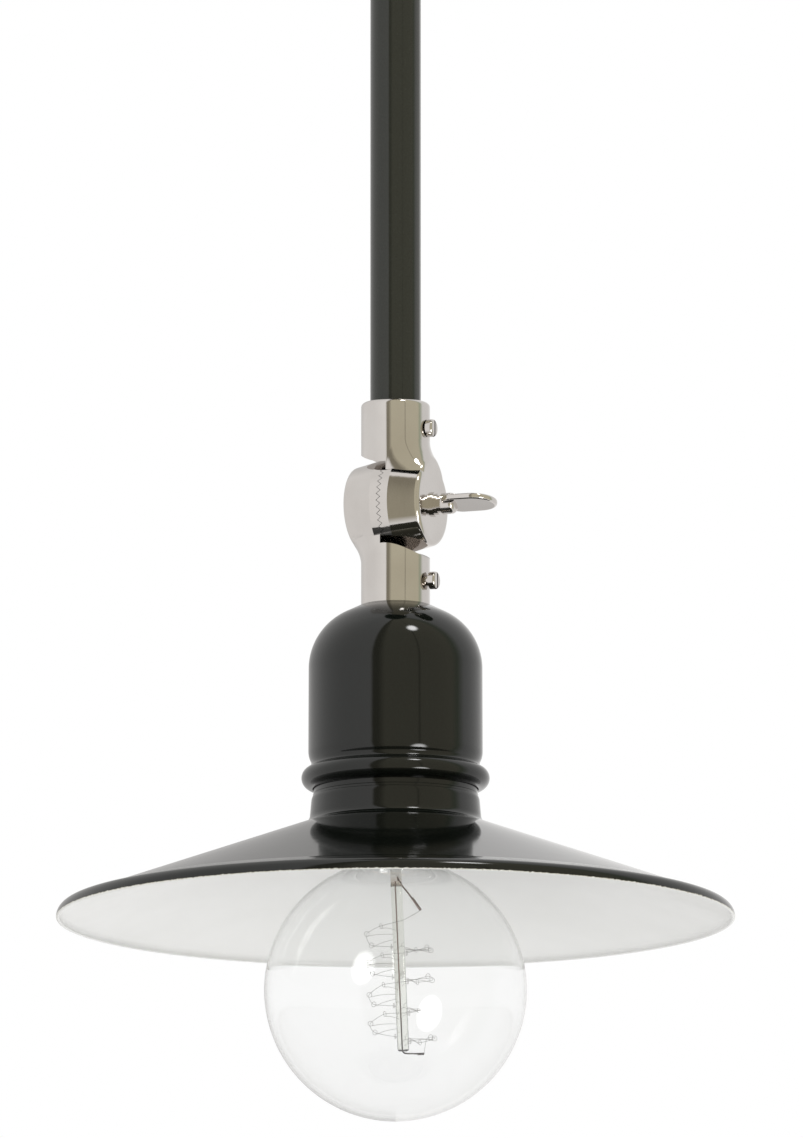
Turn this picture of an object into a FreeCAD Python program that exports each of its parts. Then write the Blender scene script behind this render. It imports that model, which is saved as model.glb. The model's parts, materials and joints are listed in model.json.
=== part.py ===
import FreeCAD, Part
import math
import os
from FreeCAD import Vector

# Driving dimensions, in millimetres and degrees.
# The ceiling plane is at height 0 and everything hangs below it.

# Ceiling cup and its bracket
canopy_diameter = 120.0
canopy_height = 26.0
canopy_wall = 1.2
canopy_corner = 12.0
bracket_width = 20.0
bracket_thickness = 2.0
bracket_ear = 13.0
bracket_gap = 0.5
slot_spacing = 70.0
slot_width = 4.6
slot_length = 14.0
cup_screw_diameter = 4.0
cup_screw_head = 7.0
cup_screw_head_height = 2.4
cup_screw_drop = 7.5
block_width = 16.0
block_length = 32.0
block_height = 12.0
block_offset = 17.0
block_poles = 3
block_pitch = 10.0
wire_way = 3.4
clamp_screw_diameter = 3.0
clamp_screw_head = 3.8
clamp_screw_head_height = 1.6
block_screw_diameter = 3.0
earth_screw_diameter = 4.0
earth_screw_head = 7.6
earth_screw_head_height = 2.2
earth_screw_offset = 18.0
screw_slot_width = 0.9
screw_slot_share = 0.4

# Hollow threaded tubes, their nuts and washers
nipple_diameter = 10.0
nipple_bore = 6.8
nut_across_flats = 14.0
nut_height = 5.0
washer_diameter = 18.0
washer_thickness = 1.0
nipple_end = 1.5

# Rod
rod_diameter = 18.4
rod_wall = 1.5
rod_length = 305.0
bushing_length = 20.0

# Toothed knuckle joint: two halves clamped by a wing screw
barrel_diameter = 25.0
upper_barrel = 38.1
lower_barrel = 36.2
barrel_edge = 1.6
rod_seat = 15.5
nipple_seat = 14.3
drum_diameter = 34.4
drum_land = 3.5
drum_taper = 12.0
drum_reach = 14.9
drum_edge = 2.0
tooth_count = 44
tooth_height = 1.5
tooth_play = 0.25
relief_diameter = 39.0
relief_step = 1.1
upper_flare = 24.6
lower_flare = 22.0
flare_radius = 12.5
flare_angle = 60.0
flare_end = 8.0
flare_rings = 6
recess_diameter = 13.0
recess_depth = 8.0
wire_hole = 4.4
wire_hole_offset = 5.5

# Wing screw, its washer and the two set screws
wing_screw_diameter = 6.0
wing_screw_end = 1.8
wing_washer_diameter = 9.0
wing_washer_thickness = 1.0
wing_hub_diameter = 7.7
wing_hub_length = 7.8
wing_groove_width = 1.4
wing_groove_depth = 0.7
wing_groove_place = 1.3
wing_reach = 23.2
wing_length = 19.6
wing_width = 16.4
wing_corner = 5.0
wing_thickness = 2.2
wing_edge = 0.9
wing_roll = 8.0
set_screw_diameter = 4.0
set_screw_head = 6.4
set_screw_head_length = 2.7
upper_set_neck = 0.2
upper_set_height = 28.1
lower_set_neck = 1.2
lower_set_height = 27.9

# Socket cover, spun from sheet
cover_wall = 1.2
cover_diameter = 63.0
cover_height = 67.2
cover_slope = 25.0
cover_dome_radius = 22.5
cover_waist_height = 19.0
cover_waist_radius = 90.0
bead_radius = 3.95
bead_centre_diameter = 60.2
bead_cove = 1.2

# Shade, spun from sheet
shade_wall = 1.2
shade_diameter = 245.6
shade_slope = 19.5
rim_roll = 4.2
rim_swell = 0.7
lip_height = 0.5
lip_edge = 0.45
neck_top_diameter = 58.0
neck_bottom_diameter = 62.0
neck_height = 14.0
neck_lap = 4.2
neck_corner = 3.0
neck_cove = 3.5

# Lampholder
holder_diameter = 39.4
holder_wall = 2.2
holder_cap_diameter = 44.0
holder_collar_diameter = 16.0
holder_collar = 8.0
holder_cap_height = 26.0
holder_shoulder = 2.5
holder_shoulder_diameter = 48.0
holder_skirt_drop = 13.0
holder_hole_gap = 0.3
shade_ring_flange = 2.0
shade_ring_height = 7.0
shade_ring_collar = 2.6
insert_height = 12.0
insert_sink = 11.6
shell_bore = 26.6
shell_wall = 0.4
shell_length = 27.0
shell_lip = 5.0
leaf_width = 5.0
leaf_thickness = 0.6
leaf_gap = 1.0
contact_drop = 5.0
holder_screw_diameter = 3.5
holder_screw_head = 5.6
holder_screw_head_height = 2.0
holder_screw_place = 10.0

# Globe lamp
globe_diameter = 95.0
lamp_length = 138.3
lamp_cap_diameter = 26.0
lamp_cap_length = 26.5
lamp_cap_wall = 0.5
lamp_tip_diameter = 9.4
lamp_tip_height = 1.6
lamp_insulator_diameter = 19.0
lamp_insulator_height = 3.0
tip_gap = 0.2
glass_wall = 0.8
glass_neck_diameter = 34.0
glass_neck_taper = 7.0
glass_neck_blend = 8.0
glass_lap = 9.0
stem_tube_diameter = 8.4
stem_tube_length = 19.5
stem_flare = 7.0
press_width = 4.0
press_depth = 2.6
press_height = 6.7
press_sink = 1.0
cane_diameter = 4.2
cane_length = 61.0
stem_heading = 22.0
stem_lean = 3.84
stem_lean_heading = -29.3
filament_diameter = 24.0
filament_wire = 0.3
filament_turns = 4
filament_start = 282.5
filament_drop = 16.0
filament_pitch = 11.0
hooks_per_turn = 8
hook_wire = 0.24
lead_wire = 0.7
short_lead_drop = 12.9
short_lead_reach = 6.3
long_lead_bend = 1.6
long_lead_gap = 1.5
long_lead_reach = 7.0

# Radial clearance of pieces that sit in one another
fit = 0.05

ORIGIN = Vector(0, 0, 0)
UP = Vector(0, 0, 1)
DOWN = Vector(0, 0, -1)
ACROSS = Vector(1, 0, 0)

# Heights that follow from the dimensions above
rod_top = -canopy_height
rod_bottom = rod_top - rod_length
hinge_height = rod_bottom + rod_seat - upper_barrel
cover_top = hinge_height - lower_barrel
cover_bottom = cover_top - cover_height
shade_top = cover_bottom + neck_lap
cone_top = shade_top - neck_height
holder_top = cover_top - cover_wall - washer_thickness - nut_height
holder_joint = holder_top - holder_cap_height
insert_bottom = holder_joint - insert_sink
contact_height = insert_bottom - contact_drop
lamp_top = contact_height - tip_gap
globe_centre = lamp_top - lamp_length + globe_diameter / 2
cap_bottom = lamp_top - lamp_cap_length


def point(corner):
    return Vector(corner[0], 0, corner[1])


def outline(corners):
    """Edges through (radius, height) corners; a pair of corners is an arc's middle and end."""
    edges = []
    here = corners[0]
    for corner in corners[1:]:
        if isinstance(corner[0], tuple):
            middle, end = corner
            edges.append(Part.Arc(point(here), point(middle), point(end)).toShape())
        else:
            end = corner
            if math.dist(here, end) > 1e-6:
                edges.append(Part.LineSegment(point(here), point(end)).toShape())
        here = end
    return Part.Wire(edges)


def bend(centre, radius, start, end):
    """Corners of an arc about a centre, with angles from the outward direction."""
    def place(angle):
        turn = math.radians(angle)
        return (centre[0] + radius * math.cos(turn), centre[1] + radius * math.sin(turn))
    return [place(start), (place((start + end) / 2), place(end))]


def turned(*corners):
    """A solid turned about the upright axis from a closed profile."""
    face = Part.Face(outline(corners + corners[:1]))
    return face.revolve(ORIGIN, UP, 360)


def spun(wall, *corners):
    """A sheet shell spun about the upright axis; wall is measured to the profile's inner side."""
    sheet = outline(corners).makeOffset2D(-wall, 0, True, True)
    return sheet.revolve(ORIGIN, UP, 360)


def bar(diameter, start, end):
    """A round bar from one point to another."""
    start = Vector(*start)
    run = Vector(*end) - start
    return Part.makeCylinder(diameter / 2, run.Length, start, run)


def tube(outside, inside, low, high):
    return bar(outside, (0, 0, low), (0, 0, high)).cut(bar(inside, (0, 0, low), (0, 0, high)))


def hexagon(across_flats, low, high):
    corners = []
    for step in range(7):
        turn = math.radians(60 * step)
        reach = across_flats / 2 / math.cos(math.radians(30))
        corners.append(Vector(reach * math.cos(turn), reach * math.sin(turn), low))
    return Part.Face(Part.makePolygon(corners)).extrude(Vector(0, 0, high - low))


def block(low, high):
    size = Vector(*high) - Vector(*low)
    return Part.makeBox(size.x, size.y, size.z, Vector(*low))


def slotted_screw(shank, length, head, head_height, place, heading):
    """A slotted screw; place is under the head, heading points out of the head."""
    screw = Part.makeCylinder(head / 2, head_height)
    top_edge = [edge for edge in screw.Edges if edge.BoundBox.ZMin > head_height - fit]
    screw = screw.makeFillet(head_height / 3, top_edge)
    floor = head_height * (1 - screw_slot_share)
    half = screw_slot_width / 2
    screw = screw.cut(block((-head, -half, floor), (head, half, head_height)))
    screw = screw.fuse(bar(shank, (0, 0, -length), (0, 0, 0))).removeSplitter()
    screw.Placement = FreeCAD.Placement(Vector(*place), FreeCAD.Rotation(UP, Vector(*heading)))
    return screw


def pattern(shapes):
    return Part.makeCompound(shapes)


# Ceiling cup, its bracket and the connections inside it
def canopy():
    outer = canopy_diameter / 2
    floor = -canopy_height
    corner = bend((outer - canopy_corner, floor + canopy_corner), canopy_corner, 0, -90)
    cup = spun(canopy_wall, (outer, 0), *corner, (nipple_diameter / 2 + fit, floor))
    for side in (1, -1):
        hole = cup_screw_diameter + 2 * fit
        cup = cup.cut(bar(hole, (0, 0, -cup_screw_drop), (side * canopy_diameter, 0, -cup_screw_drop)))
    return cup


def bracket_reach():
    """Outer face of the bracket's ears, whose corners clear the cup's inner wall."""
    inner = canopy_diameter / 2 - canopy_wall - bracket_gap
    return math.sqrt(inner ** 2 - (bracket_width / 2) ** 2)


def ceiling_bracket():
    reach = bracket_reach()
    half = bracket_width / 2
    ears = block((-reach, -half, -bracket_ear), (reach, half, 0))
    inside = reach - bracket_thickness
    bracket = ears.cut(block((-inside, -half, -bracket_ear), (inside, half, -bracket_thickness)))
    straight = (slot_length - slot_width) / 2
    for side in (1, -1):
        for end in (1, -1):
            place = side * slot_spacing / 2 + end * straight
            bracket = bracket.cut(bar(slot_width, (place, 0, -bracket_thickness), (place, 0, 0)))
        middle = side * slot_spacing / 2
        bracket = bracket.cut(block((middle - straight, -slot_width / 2, -bracket_thickness),
                                    (middle + straight, slot_width / 2, 0)))
        hole = cup_screw_diameter + 2 * fit
        bracket = bracket.cut(bar(hole, (0, 0, -cup_screw_drop), (side * reach, 0, -cup_screw_drop)))
    holes = [(block_screw_place(), block_screw_diameter),
             ((-earth_screw_offset, 0), earth_screw_diameter)]
    for (x, y), size in holes:
        bracket = bracket.cut(bar(size + 2 * fit, (x, y, -bracket_thickness), (x, y, 0)))
    return bracket


def cup_screws():
    outer = canopy_diameter / 2
    length = outer - bracket_reach() + 2 * bracket_thickness
    screws = []
    for side in (1, -1):
        screws.append(slotted_screw(cup_screw_diameter, length, cup_screw_head, cup_screw_head_height,
                                    (side * outer, 0, -cup_screw_drop), (side, 0, 0)))
    return pattern(screws)


def pole_places():
    middle = (block_poles - 1) / 2
    return [(step - middle) * block_pitch for step in range(block_poles)]


def terminal_block():
    top = -bracket_thickness
    floor = top - block_height
    body = block((block_offset - block_width / 2, -block_length / 2, floor),
                 (block_offset + block_width / 2, block_length / 2, top))
    wire_height = top - block_height / 2
    for pole in pole_places():
        body = body.cut(bar(wire_way, (block_offset - block_width, pole, wire_height),
                            (block_offset + block_width, pole, wire_height)))
        for side in (1, -1):
            place = block_offset + side * block_width / 4
            body = body.cut(bar(clamp_screw_diameter + 2 * fit, (place, pole, floor),
                                (place, pole, wire_height)))
    x, y = block_screw_place()
    return body.cut(bar(block_screw_diameter + 2 * fit, (x, y, floor), (x, y, top)))


def block_screw_place():
    """Between two poles, clear of their wire ways."""
    return (block_offset, block_pitch / 2)


def clamp_screws():
    floor = -bracket_thickness - block_height
    screws = []
    for pole in pole_places():
        for side in (1, -1):
            place = (block_offset + side * block_width / 4, pole, floor)
            screws.append(slotted_screw(clamp_screw_diameter, block_height / 3, clamp_screw_head,
                                        clamp_screw_head_height, place, (0, 0, -1)))
    return pattern(screws)


def block_screw():
    x, y = block_screw_place()
    return slotted_screw(block_screw_diameter, block_height + bracket_thickness, clamp_screw_head,
                         clamp_screw_head_height, (x, y, -bracket_thickness - block_height), (0, 0, -1))


def earth_screw():
    return slotted_screw(earth_screw_diameter, bracket_thickness, earth_screw_head,
                         earth_screw_head_height, (-earth_screw_offset, 0, -bracket_thickness),
                         (0, 0, -1))


# Rod and its fixing in the cup
def cup_floor():
    return rod_top + canopy_wall


def rod_washer():
    low = cup_floor()
    return tube(washer_diameter, nipple_diameter + 2 * fit, low, low + washer_thickness)


def rod_nut():
    low = cup_floor() + washer_thickness
    nut = hexagon(nut_across_flats, low, low + nut_height)
    return nut.cut(bar(nipple_diameter + 2 * fit, (0, 0, low), (0, 0, low + nut_height)))


def rod_nipple():
    high = cup_floor() + washer_thickness + nut_height + nipple_end
    return tube(nipple_diameter, nipple_bore, rod_top - bushing_length, high)


def rod_bushing():
    outside = rod_diameter - 2 * rod_wall - 2 * fit
    return tube(outside, nipple_diameter + 2 * fit, rod_top - bushing_length, rod_top)


def rod():
    return tube(rod_diameter, rod_diameter - 2 * rod_wall, rod_bottom, rod_top)


# Knuckle joint, modelled about its hinge with the half's own drum towards +X
def neck(flare_start):
    """Flare from the barrel to the drum's outer face: it widens along the hinge only."""
    barrel = barrel_diameter / 2 - fit
    turn = math.radians(flare_angle)
    arc_drop = flare_radius * math.sin(turn)
    rings = []
    for step in range(flare_rings + 1):
        drop = (flare_start - flare_end) * step / flare_rings
        bulge = flare_radius - math.sqrt(flare_radius ** 2 - min(drop, arc_drop) ** 2)
        reach = barrel + bulge + max(drop - arc_drop, 0) * math.tan(turn)
        ring = Part.Ellipse(Vector(0, 0, flare_start - drop), reach, barrel).toShape()
        rings.append(Part.Wire([ring]))
    wide = Part.makeLoft(rings, True)
    side = block((0, -barrel, flare_end), (drum_reach, barrel, flare_start))
    body = wide.common(side)
    rim = [edge for edge in body.Edges
           if edge.BoundBox.XMin > drum_reach - fit and edge.BoundBox.ZLength > fit]
    return body.makeFillet(drum_edge, rim)


def drum(start):
    """Round boss along the hinge: a plain land at the teeth, then a taper to its outer face."""
    radius = drum_diameter / 2
    outer = radius - (drum_reach - drum_land) * math.tan(math.radians(drum_taper))
    boss = turned((0, start), (radius, start), (radius, drum_land), (outer, drum_reach), (0, drum_reach))
    rim = [edge for edge in boss.Edges
           if edge.BoundBox.ZMin > drum_reach - fit and edge.BoundBox.XMax > outer - fit]
    boss = boss.makeFillet(drum_edge, rim)
    boss.rotate(ORIGIN, Vector(0, 1, 0), 90)
    return boss


def tooth_side(side):
    """All that lies on one side of the radial teeth's zigzag face, about the hinge."""
    radius = drum_diameter / 2 + tooth_height
    rise = tooth_height * radius / drum_diameter
    rim = []
    back = []
    for step in range(2 * tooth_count):
        turn = math.radians(180 * step / tooth_count)
        y = radius * math.cos(turn)
        z = radius * math.sin(turn)
        rim.append(Vector(rise if step % 2 else -rise, y, z))
        back.append(Vector(side * 2 * tooth_height, y, z))
    faces = [Part.Face(Part.makePolygon(back + back[:1]))]
    for step in range(2 * tooth_count):
        near, far = rim[step - 1], rim[step]
        near_back, far_back = back[step - 1], back[step]
        faces.append(Part.Face(Part.makePolygon([ORIGIN, near, far, ORIGIN])))
        faces.append(Part.Face(Part.makePolygon([near, far, far_back, near_back, near])))
    solid = Part.makeSolid(Part.makeShell(faces))
    solid.fix(1e-7, 1e-7, 1e-7)
    if solid.Volume < 0:
        solid.reverse()
    return solid


def knuckle_half(barrel_length, flare_start, bore, bore_floor, set_height, set_side):
    barrel = barrel_diameter / 2
    body = bar(barrel_diameter, (0, 0, 0), (0, 0, barrel_length)).fuse(neck(flare_start))
    body = body.cut(bar(relief_diameter, (-2 * barrel, 0, 0), (relief_step, 0, 0)))
    body = body.fuse(drum(-tooth_height))
    body = body.cut(bar(bore + 2 * fit, (0, 0, bore_floor), (0, 0, barrel_length)))
    body = body.cut(bar(recess_diameter, (-2 * tooth_height, 0, 0), (recess_depth, 0, 0)))
    body = body.cut(bar(wire_hole, (wire_hole_offset, 0, 0), (wire_hole_offset, 0, bore_floor)))
    return body.cut(bar(set_screw_diameter + 2 * fit, (0, 0, set_height),
                        (set_side * 2 * barrel, 0, set_height)))


def upper_knuckle():
    half = knuckle_half(upper_barrel, upper_flare, rod_diameter, upper_barrel - rod_seat,
                        upper_set_height, 1)
    top_edges = [edge for edge in half.Edges
                 if edge.BoundBox.ZMin > upper_barrel - fit
                 and edge.BoundBox.XMax > barrel_diameter / 2 - fit]
    half = half.makeFillet(barrel_edge, top_edges)
    half = half.cut(bar(wing_screw_diameter + 2 * fit, (0, 0, 0), (drum_reach, 0, 0)))
    teeth = tooth_side(-1)
    teeth.translate(Vector(tooth_play / 2, 0, 0))
    return on_hinge(half.cut(teeth).removeSplitter())


def lower_knuckle():
    half = knuckle_half(lower_barrel, lower_flare, nipple_diameter, lower_barrel - nipple_seat,
                        lower_set_height, -1)
    half.rotate(ORIGIN, Vector(0, 1, 0), 180)
    half = half.cut(bar(wing_screw_diameter + 2 * fit, (0, 0, 0),
                        (-drum_reach + wing_screw_end, 0, 0)))
    teeth = tooth_side(1)
    teeth.translate(Vector(-tooth_play / 2, 0, 0))
    return on_hinge(half.cut(teeth).removeSplitter())


def on_hinge(shape):
    shape.translate(Vector(0, 0, hinge_height))
    return shape


def set_screw(height, neck_length, seat):
    """Slotted screw through the barrel's wall, its end on the piece that it holds."""
    head = barrel_diameter / 2 + neck_length
    return on_hinge(slotted_screw(set_screw_diameter, head - seat, set_screw_head,
                                  set_screw_head_length, (head, 0, height), (1, 0, 0)))


def wing_washer():
    washer = bar(wing_washer_diameter, (drum_reach, 0, 0), (drum_reach + wing_washer_thickness, 0, 0))
    return on_hinge(washer.cut(bar(wing_screw_diameter + 2 * fit, (0, 0, 0), (2 * drum_reach, 0, 0))))


def wing_screw():
    base = drum_reach + wing_washer_thickness
    end = base + wing_hub_length
    hub = bar(wing_hub_diameter, (base, 0, 0), (end, 0, 0))
    outer_edge = [edge for edge in hub.Edges if edge.BoundBox.XMin > end - fit]
    hub = hub.makeFillet(wing_hub_diameter / 4, outer_edge)
    groove = base + wing_groove_place
    ring = bar(2 * wing_hub_diameter, (groove, 0, 0), (groove + wing_groove_width, 0, 0))
    ring = ring.cut(bar(wing_hub_diameter - 2 * wing_groove_depth, (base, 0, 0), (end, 0, 0)))
    hub = hub.cut(ring)
    tip = -drum_reach + wing_screw_end + 2 * fit
    shank = bar(wing_screw_diameter, (tip, 0, 0), (base, 0, 0))
    half = wing_width / 2
    low = -wing_thickness / 2
    wing_end = base + wing_reach
    wing = block((wing_end - wing_length, -half, low), (wing_end - half, half, low + wing_thickness))
    roots = [edge for edge in wing.Edges
             if edge.BoundBox.XMax < wing_end - wing_length + fit and edge.BoundBox.ZLength > fit]
    wing = wing.makeFillet(wing_corner, roots)
    round_end = bar(wing_width, (wing_end - half, 0, low), (wing_end - half, 0, low + wing_thickness))
    wing = wing.fuse(round_end).removeSplitter()
    wing = wing.makeFillet(wing_edge, [edge for edge in wing.Edges if edge.BoundBox.ZLength < fit])
    wing.rotate(ORIGIN, ACROSS, -wing_roll)
    return on_hinge(hub.fuse([shank, wing]).removeSplitter())


# Socket cover and its fixing under the knuckle
def socket_cover():
    side = cover_diameter / 2
    turn = math.radians(cover_slope)
    seat = barrel_diameter / 2
    slope_r = side - cover_dome_radius * (1 - math.sin(turn))
    slope_z = cover_top - (slope_r - seat) * math.tan(turn)
    dome_z = slope_z - cover_dome_radius * math.cos(turn)
    dome = bend((side - cover_dome_radius, dome_z), cover_dome_radius, 90 - cover_slope, 0)
    waist_centre = Vector(side - cover_waist_radius, 0, cover_bottom + cover_waist_height)
    bead_centre = Vector(bead_centre_diameter / 2, 0, cover_bottom + bead_radius)
    cove_centre = between(waist_centre, cover_waist_radius + bead_cove, bead_centre, bead_radius + bead_cove)
    waist_end = angle_to(waist_centre, cove_centre)
    bead_start = angle_to(bead_centre, cove_centre)
    waist = bend((waist_centre.x, waist_centre.z), cover_waist_radius, 0, waist_end)
    cove = bend((cove_centre.x, cove_centre.z), bead_cove, 180 + waist_end, 180 + bead_start)
    bead = bend((bead_centre.x, bead_centre.z), bead_radius, bead_start, -90)
    return spun(cover_wall, (nipple_diameter / 2 + fit, cover_top), (seat, cover_top),
                *dome, *waist, *cove, *bead)


def between(near, near_reach, far, far_reach):
    """Place in the profile's plane at the given reaches from two centres, on the outer side."""
    span = far - near
    along = (near_reach ** 2 - far_reach ** 2 + span.dot(span)) / (2 * span.Length)
    away = math.sqrt(near_reach ** 2 - along ** 2)
    way = span / span.Length
    return near + way * along + Vector(-way.z, 0, way.x) * away


def angle_to(centre, place):
    return math.degrees(math.atan2(place.z - centre.z, place.x - centre.x))


def cover_washer():
    high = cover_top - cover_wall
    return tube(washer_diameter, nipple_diameter + 2 * fit, high - washer_thickness, high)


def cover_nut():
    high = cover_top - cover_wall - washer_thickness
    nut = hexagon(nut_across_flats, high - nut_height, high)
    return nut.cut(bar(nipple_diameter + 2 * fit, (0, 0, high - nut_height), (0, 0, high)))


def cover_nipple():
    high = cover_top + nipple_seat
    return tube(nipple_diameter, nipple_bore, holder_top - holder_collar, high)


# Lampholder
def holder_cap():
    bore = nipple_diameter / 2 + fit
    collar = holder_collar_diameter / 2
    outer = holder_cap_diameter / 2
    collar_low = holder_top - holder_collar
    dome = outer - collar
    curve = bend((collar, collar_low - dome), dome, 90, 0)
    inner_dome = dome - holder_wall
    inner_curve = bend((collar, collar_low - dome), inner_dome, 0, 90)
    return turned((bore, holder_top), (collar, holder_top), *curve, (outer, holder_joint),
                  (outer - holder_wall, holder_joint), *inner_curve, (bore, collar_low - holder_wall))


def holder_skirt():
    bore = holder_diameter / 2 - holder_wall
    outer = holder_cap_diameter / 2
    shoulder = holder_shoulder_diameter / 2
    low = shade_top - holder_skirt_drop
    return turned((bore, holder_joint), (outer, holder_joint), (outer, shade_top + holder_shoulder),
                  (shoulder, shade_top + holder_shoulder), (shoulder, shade_top),
                  (holder_diameter / 2, shade_top), (holder_diameter / 2, low), (bore, low))


def holder_insert():
    radius = holder_diameter / 2 - holder_wall - fit
    insert = bar(2 * radius, (0, 0, insert_bottom), (0, 0, insert_bottom + insert_height))
    top = insert_bottom + insert_height
    for side in (1, -1):
        place = side * holder_screw_place
        insert = insert.cut(bar(holder_screw_diameter + 2 * fit, (place, 0, top - insert_height / 2),
                                (place, 0, top)))
        insert = insert.cut(bar(holder_screw_diameter, (0, place, insert_bottom), (0, place, top)))
    return insert


def holder_screws():
    top = insert_bottom + insert_height
    screws = []
    for side in (1, -1):
        screws.append(slotted_screw(holder_screw_diameter, insert_height / 2 - fit, holder_screw_head,
                                    holder_screw_head_height, (side * holder_screw_place, 0, top),
                                    (0, 0, 1)))
    return pattern(screws)


def thread_shell():
    inner = shell_bore / 2
    outer = inner + shell_wall
    low = insert_bottom - shell_length
    lip = inner - shell_lip
    return turned((lip, insert_bottom), (outer, insert_bottom), (outer, low), (inner, low),
                  (inner, insert_bottom - shell_wall), (lip, insert_bottom - shell_wall))


def centre_contact():
    """A bent leaf fixed under the insert, whose free end meets the lamp's tip."""
    reach = shell_bore / 2 - shell_lip - leaf_gap
    tip = lamp_tip_diameter / 4
    face = contact_height
    corners = [(-reach, insert_bottom), (-reach, insert_bottom - leaf_thickness),
               (-tip * 2, insert_bottom - leaf_thickness), (-tip, face), (tip, face),
               (tip, face + leaf_thickness), (-tip, face + leaf_thickness),
               (-tip * 2, insert_bottom)]
    wire = Part.makePolygon([Vector(x, -leaf_width / 2, z) for x, z in corners + corners[:1]])
    return Part.Face(wire).extrude(Vector(0, leaf_width, 0))


def shade_ring():
    inner = holder_diameter / 2 + fit
    outer = neck_top_diameter / 2 - neck_corner
    collar = inner + shade_ring_collar
    high = shade_top - shade_wall
    return turned((inner, high), (outer, high), (outer, high - shade_ring_flange),
                  (collar, high - shade_ring_flange), (collar, high - shade_ring_height),
                  (inner, high - shade_ring_height))


# Shade
def shade():
    hole = holder_diameter / 2 + holder_hole_gap
    neck_top = neck_top_diameter / 2
    neck_low = neck_bottom_diameter / 2
    rim = shade_diameter / 2
    lean = math.degrees(math.atan2(neck_low - neck_top, neck_height))
    corner = bend((neck_top - neck_corner, shade_top - neck_corner), neck_corner, 90, lean)
    cove = bend((neck_low + neck_cove, cone_top), neck_cove, 180 + lean, 270 - shade_slope)
    cone_r, cone_z = cove[1][1]
    slope = math.radians(shade_slope)
    roll_r = rim - rim_roll
    roll_z = cone_z - (roll_r - cone_r) * math.tan(slope) - (rim_roll - rim_swell) / math.cos(slope)
    rise = math.degrees(math.acos(1 - rim_swell / rim_roll))
    roll = bend((roll_r, roll_z), rim_roll, 90 - shade_slope + rise, 0)
    low = roll_z - lip_height
    cone = spun(shade_wall, (hole, shade_top), *corner, *cove, *roll, (rim, low))
    edges = [edge for edge in cone.Edges
             if edge.BoundBox.ZMax < low + fit and edge.BoundBox.XLength > 2 * (rim - shade_wall - fit)]
    return cone.makeFillet(lip_edge, edges)


# Globe lamp
def lamp_tip():
    low = lamp_top - lamp_tip_height
    radius = lamp_tip_diameter / 2
    return turned((0, lamp_top), (radius / 2, lamp_top), (radius, low), (0, low))


def lamp_insulator():
    high = lamp_top - lamp_tip_height
    low = high - lamp_insulator_height
    outer = lamp_insulator_diameter / 2
    return turned((0, high), (lamp_tip_diameter / 2, high), (outer, low), (0, low))


def lamp_cap():
    top = lamp_top - lamp_tip_height - lamp_insulator_height
    outer = lamp_cap_diameter / 2
    shoulder = outer - lamp_insulator_diameter / 2
    return spun(lamp_cap_wall, (0, top), (lamp_insulator_diameter / 2, top), (outer, top - shoulder),
                (outer, cap_bottom))


def globe():
    radius = globe_diameter / 2
    neck = glass_neck_diameter / 2
    lap = lamp_cap_diameter / 2 - lamp_cap_wall - fit
    blend_r = neck + glass_neck_blend
    blend_z = globe_centre + math.sqrt((radius + glass_neck_blend) ** 2 - blend_r ** 2)
    meet = math.degrees(math.atan2(blend_z - globe_centre, blend_r))
    blend = bend((blend_r, blend_z), glass_neck_blend, 180, 180 + meet)
    ball = bend((0, globe_centre), radius, meet, -90)
    return spun(glass_wall, (lap, cap_bottom + glass_lap), (lap, cap_bottom),
                (neck, cap_bottom - glass_neck_taper), *blend, *ball)


def leaning(shape):
    """The stem's foot stands a little out of true, so all that it carries leans with it."""
    heading = math.radians(stem_lean_heading)
    axis = Vector(math.sin(heading), -math.cos(heading), 0)
    shape.rotate(Vector(0, 0, stem_foot()), axis, stem_lean)
    return shape


def stem_foot():
    return cap_bottom - stem_tube_length


def cane_top():
    return stem_foot() - press_height


def lamp_stem():
    flange = lamp_cap_diameter / 2 - lamp_cap_wall - fit - glass_wall - fit
    throat = stem_tube_diameter / 2
    high = cap_bottom
    foot = turned((0, high), (flange, high), (throat, high - stem_flare), (throat, stem_foot()),
                  (0, stem_foot()))
    half = press_width / 2
    press = block((-half, -press_depth / 2, cane_top()),
                  (half, press_depth / 2, stem_foot() + press_sink))
    press.rotate(ORIGIN, UP, stem_heading)
    cane = bar(cane_diameter, (0, 0, cane_top() - cane_length), (0, 0, cane_top() + press_sink))
    return foot.fuse([leaning(press), leaning(cane)]).removeSplitter()


def helix_point(turns):
    turn = math.radians(filament_start) - 2 * math.pi * turns
    height = cane_top() - filament_drop - filament_pitch * turns
    return Vector(filament_diameter / 2 * math.cos(turn), filament_diameter / 2 * math.sin(turn), height)


def helix_heading(turns):
    turn = math.radians(filament_start) - 2 * math.pi * turns
    around = Vector(math.sin(turn), -math.cos(turn), 0) * (math.pi * filament_diameter)
    return (around - UP * filament_pitch).normalize()


def biarc(start, start_way, end, end_way):
    """Two arcs that leave and arrive along the given headings."""
    span = end - start
    ways = start_way + end_way
    spread = 2 * (1 - start_way.dot(end_way))
    along = span.dot(ways)
    arm = (math.sqrt(along ** 2 + spread * span.dot(span)) - along) / spread
    meet = (start + end + (start_way - end_way) * arm) * 0.5
    arcs = []
    for low, knee, high in ((start, start + start_way * arm, meet), (meet, end - end_way * arm, end)):
        chord = (low + high) * 0.5
        half = (high - low).Length / 2
        rise = (knee - chord).Length
        sagitta = half * math.tan(math.atan2(rise, half) / 2)
        middle = chord + (knee - chord).normalize() * sagitta
        arcs.append(Part.Arc(low, middle, high).toShape())
    return arcs


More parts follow.
